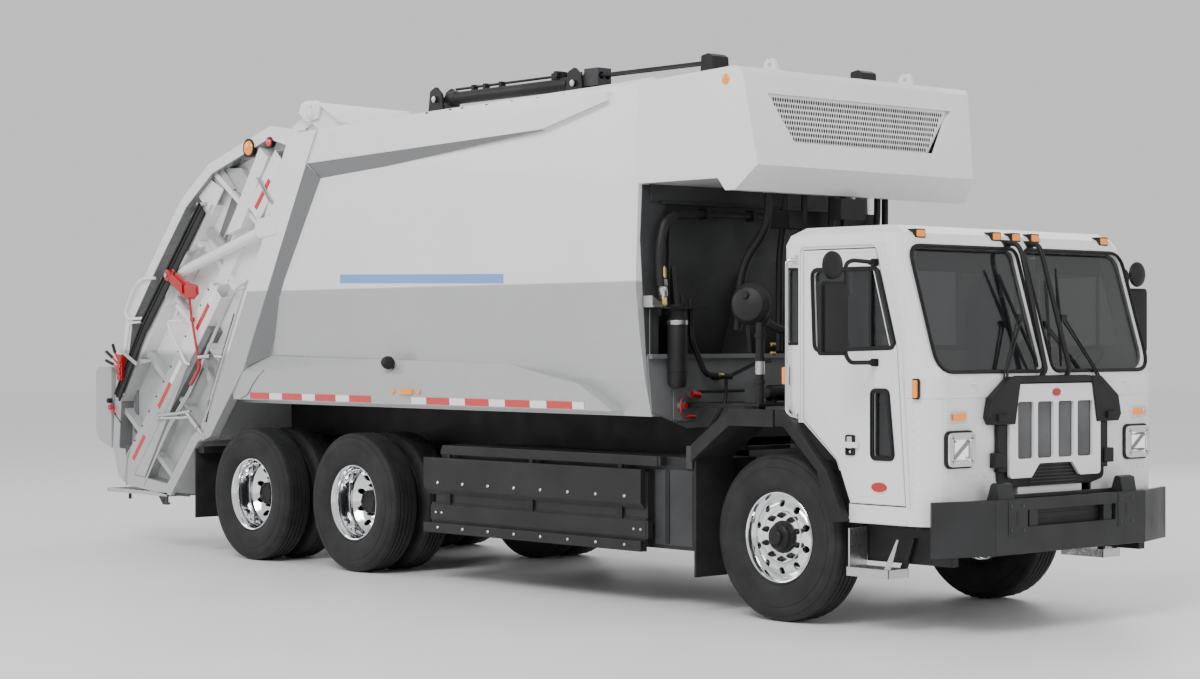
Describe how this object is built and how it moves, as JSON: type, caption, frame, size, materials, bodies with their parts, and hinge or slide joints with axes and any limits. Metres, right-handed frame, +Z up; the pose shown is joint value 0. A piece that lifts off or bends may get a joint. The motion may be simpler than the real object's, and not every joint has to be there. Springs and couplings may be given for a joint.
{
  "type": "rear-loading garbage truck",
  "caption": "Rear-loading garbage truck with a low tilting cab, twin drive axles, a lifting tailgate with packing gear, and an ejector in the body.",
  "frame": {"origin": "on the ground below the middle of the overall length, on the centre line", "axes": "+X forward to the bumper, +Y to the truck's left, +Z up"},
  "size_m": [9.95, 3.384, 3.82],
  "materials": {
    "white_paint": "gloss white paint",
    "black_paint": "satin black chassis paint",
    "bumper_black": "semi-gloss black powder coat",
    "dark_steel": "dark grey paint over steel",
    "guard_black": "satin black paint",
    "tread_plate": "bare aluminium tread plate",
    "tyre_rubber": "matt black rubber",
    "polished_aluminium": "polished",
    "glass_clear": "lightly tinted",
    "lamp_chrome": "bright",
    "plastic_black": "grained black plastic",
    "seat_fabric": "dark woven cloth",
    "red_paint": "gloss red paint",
    "rod_chrome": "hard chrome",
    "grey_box": "light grey paint",
    "filter_black": "gloss black paint"
  },
  "bodies": {
    "chassis": {"chassis_frame": "black_paint", "front_bumper": "bumper_black", "engine_block": "black_paint", "front_axle": "black_paint", "drive_axles": "black_paint", "rear_suspension": "black_paint", "side_guards": "guard_black", "mudguards": "plastic_black", "entry_steps": "tread_plate", "body_subframe": "black_paint", "body_shell": "white_paint", "roof_pod": "white_paint", "pod_grille": "white_paint", "roof_cylinder": "black_paint", "hydraulic_lines": "filter_black"},
    "roof_block": {"roof_slide_block": "dark_steel"},
    "ejector": {"ejector_panel": "dark_steel"},
    "cab": {"cab_shell": "white_paint", "cab_top": "white_paint", "cab_glass": "glass_clear", "cab_fenders": "plastic_black", "grille_panel": "white_paint", "grille_surround": "plastic_black", "front_lamps": "lamp_chrome", "wipers_and_braces": "plastic_black", "seats": "seat_fabric", "dashboard": "plastic_black"},
    "right_door": {"door_right": "white_paint", "door_glass_right": "glass_clear", "mirror_right": "plastic_black"},
    "left_door": {"door_left": "white_paint", "door_glass_left": "glass_clear", "mirror_left": "plastic_black"},
    "right_knuckle": {"knuckle_right": "black_paint"},
    "left_knuckle": {"knuckle_left": "black_paint"},
    "front_wheel_right": {"tyre_front_right": "tyre_rubber", "wheel_front_right": "polished_aluminium"},
    "front_wheel_left": {"tyre_front_left": "tyre_rubber", "wheel_front_left": "polished_aluminium"},
    "tailgate": {"tailgate_side_right": "white_paint", "tailgate_side_left": "white_paint", "tailgate_back": "white_paint", "hopper_shell": "white_paint", "rear_step": "grey_box", "grab_rails": "white_paint", "control_levers": "red_paint"},
    "barrel_right": {"lift_barrel_right": "white_paint"},
    "rod_right": {"lift_rod_right": "rod_chrome"},
    "barrel_left": {"lift_barrel_left": "white_paint"},
    "rod_left": {"lift_rod_left": "rod_chrome"},
    "carriage": {"packer_carriage": "dark_steel"},
    "blade": {"sweep_blade": "dark_steel"},
    "rear_wheels_1_right": {"tyres_drive1_right": "tyre_rubber", "wheels_drive1_right": "polished_aluminium"},
    "rear_wheels_1_left": {"tyres_drive1_left": "tyre_rubber", "wheels_drive1_left": "polished_aluminium"},
    "rear_wheels_2_right": {"tyres_drive2_right": "tyre_rubber", "wheels_drive2_right": "polished_aluminium"},
    "rear_wheels_2_left": {"tyres_drive2_left": "tyre_rubber", "wheels_drive2_left": "polished_aluminium"}
  },
  "joints": [
    {"name": "cab_tilt", "type": "hinge", "parent": "chassis", "child": "cab", "pos_m": [4.789, 0, 0.84], "axis": [0, 1, 0], "range_deg": [0, 35]},
    {"name": "door_right_open", "type": "hinge", "parent": "cab", "child": "right_door", "pos_m": [4.593, -1.19, 1.5], "axis": [0, 0, 1], "range_deg": [0, 65]},
    {"name": "door_left_open", "type": "hinge", "parent": "cab", "child": "left_door", "pos_m": [4.593, 1.19, 1.5], "axis": [0, 0, -1], "range_deg": [0, 65]},
    {"name": "steer_right", "type": "hinge", "parent": "chassis", "child": "right_knuckle", "pos_m": [3.477, -0.875, 0.548], "axis": [0, 0, 1], "range_deg": [-32, 32]},
    {"name": "steer_left", "type": "hinge", "parent": "chassis", "child": "left_knuckle", "pos_m": [3.477, 0.875, 0.548], "axis": [0, 0, 1], "range_deg": [-32, 32]},
    {"name": "wheel_front_right_spin", "type": "hinge", "parent": "right_knuckle", "child": "front_wheel_right", "pos_m": [3.477, -1.03, 0.548], "axis": [0, 1, 0], "continuous": true},
    {"name": "wheel_front_left_spin", "type": "hinge", "parent": "left_knuckle", "child": "front_wheel_left", "pos_m": [3.477, 1.03, 0.548], "axis": [0, 1, 0], "continuous": true},
    {"name": "wheels_drive1_right_spin", "type": "hinge", "parent": "chassis", "child": "rear_wheels_1_right", "pos_m": [-1.084, -0.91, 0.548], "axis": [0, 1, 0], "continuous": true},
    {"name": "wheels_drive1_left_spin", "type": "hinge", "parent": "chassis", "child": "rear_wheels_1_left", "pos_m": [-1.084, 0.91, 0.548], "axis": [0, 1, 0], "continuous": true},
    {"name": "wheels_drive2_right_spin", "type": "hinge", "parent": "chassis", "child": "rear_wheels_2_right", "pos_m": [-2.499, -0.91, 0.548], "axis": [0, 1, 0], "continuous": true},
    {"name": "wheels_drive2_left_spin", "type": "hinge", "parent": "chassis", "child": "rear_wheels_2_left", "pos_m": [-2.499, 0.91, 0.548], "axis": [0, 1, 0], "continuous": true},
    {"name": "tailgate_lift", "type": "hinge", "parent": "chassis", "child": "tailgate", "pos_m": [-1.92, 0, 3.685], "axis": [0, 1, 0], "range_deg": [0, 65]},
    {"name": "lift_barrel_right_swing", "type": "hinge", "parent": "chassis", "child": "barrel_right", "pos_m": [-2.338, -1.16, 2.742], "axis": [0, 1, 0], "range_deg": [0, 67.61]},
    {"name": "lift_rod_right_slide", "type": "slide", "parent": "barrel_right", "child": "rod_right", "axis": [-0.9687, 0, -0.2483], "range_m": [0, 1.1073]},
    {"name": "lift_barrel_left_swing", "type": "hinge", "parent": "chassis", "child": "barrel_left", "pos_m": [-2.338, 1.16, 2.742], "axis": [0, 1, 0], "range_deg": [0, 67.61]},
    {"name": "lift_rod_left_slide", "type": "slide", "parent": "barrel_left", "child": "rod_left", "axis": [-0.9687, 0, -0.2483], "range_m": [0, 1.1073]},
    {"name": "packer_slide", "type": "slide", "parent": "tailgate", "child": "carriage", "axis": [-0.6429, 0, -0.7659], "range_m": [0, 0.7]},
    {"name": "sweep_blade_swing", "type": "hinge", "parent": "carriage", "child": "blade", "pos_m": [-3.291, 0, 2.105], "axis": [0, 1, 0], "range_deg": [0, 90]},
    {"name": "ejector_slide", "type": "slide", "parent": "chassis", "child": "ejector", "axis": [-1, 0, 0], "range_m": [0, 3.5]},
    {"name": "roof_block_slide", "type": "slide", "parent": "chassis", "child": "roof_block", "axis": [1, 0, 0], "range_m": [0, 1.05]}
  ],
  "couplings": [
    {"joint": "steer_left", "follows": "steer_right", "ratio": 1},
    {"joint": "lift_barrel_right_swing", "follows": "tailgate_lift", "ratio": 1.0393},
    {"joint": "lift_rod_right_slide", "follows": "tailgate_lift", "m_per_rad": 0.9743},
    {"joint": "lift_barrel_left_swing", "follows": "tailgate_lift", "ratio": 1.0393},
    {"joint": "lift_rod_left_slide", "follows": "tailgate_lift", "m_per_rad": 0.9743}
  ]
}
